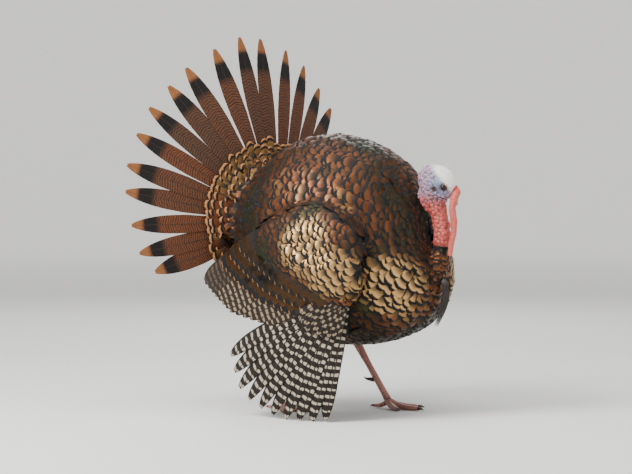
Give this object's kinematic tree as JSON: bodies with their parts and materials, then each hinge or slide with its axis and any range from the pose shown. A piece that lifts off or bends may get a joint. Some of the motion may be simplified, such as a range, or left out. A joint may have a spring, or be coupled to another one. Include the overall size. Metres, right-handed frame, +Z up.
{
  "type": "wild turkey",
  "caption": "Life-size wild turkey gobbler in full strut, tail fanned, near wing dropped to the floor, bare head and neck with a hanging snood and a breast beard.",
  "frame": {"origin": "on the floor, under the middle of the bounding box", "axes": "+X is the way the bird's body faces, +Y its left side, +Z up"},
  "size_m": [0.7042, 0.7324, 0.8724],
  "materials": {
    "plumage": "iridescent bronze body feathers with black edges",
    "tail_feather": "brown barred vane, black band, chestnut tip",
    "tail_coverts": "chestnut-tipped coverts",
    "wing_quill": "blackish vane barred with white",
    "bare_skin": "bare warty red skin",
    "crown_skin": "bare white and blue skin",
    "horn": "horn",
    "eye": "wet dark brown eye",
    "leg_scale": "scaled pinkish leg skin",
    "beard": "coarse black bristles"
  },
  "bodies": {
    "root": {"back": "plumage", "beard": "beard", "belly": "plumage", "breast": "plumage", "claw_hind_left": "horn", "claw_hind_right": "horn", "claw_inner_left": "horn", "claw_inner_right": "horn", "claw_middle_left": "horn", "claw_middle_right": "horn", "claw_outer_left": "horn", "claw_outer_right": "horn", "eye_left": "eye", "eye_right": "eye", "foot_left": "leg_scale", "foot_right": "leg_scale", "head": "crown_skin", "lower_bill": "horn", "neck": "bare_skin", "shank_left": "leg_scale", "shank_right": "leg_scale", "snood": "bare_skin", "spur_left": "horn", "spur_right": "horn", "tail_feather_01": "tail_feather", "tail_feather_02": "tail_feather", "tail_feather_03": "tail_feather", "tail_feather_04": "tail_feather", "tail_feather_05": "tail_feather", "tail_feather_06": "tail_feather", "tail_feather_07": "tail_feather", "tail_feather_08": "tail_feather", "tail_feather_09": "tail_feather", "tail_feather_10": "tail_feather", "tail_feather_11": "tail_feather", "tail_feather_12": "tail_feather", "tail_feather_13": "tail_feather", "tail_feather_14": "tail_feather", "tail_feather_15": "tail_feather", "tail_feather_16": "tail_feather", "tail_feather_17": "tail_feather", "tail_feather_18": "tail_feather", "tail_feather_19": "tail_feather", "tail_feather_20": "tail_feather", "tail_feather_21": "tail_feather", "tail_feather_22": "tail_feather", "thigh_left": "plumage", "thigh_right": "plumage", "under_tail_coverts": "tail_coverts", "upper_bill": "horn", "upper_tail_coverts": "tail_coverts", "wing_left_arm": "plumage", "wing_left_primaries": "wing_quill", "wing_left_secondaries": "wing_quill", "wing_right_arm": "plumage", "wing_right_primaries": "wing_quill", "wing_right_secondaries": "wing_quill"}
  },
  "joints": []
}
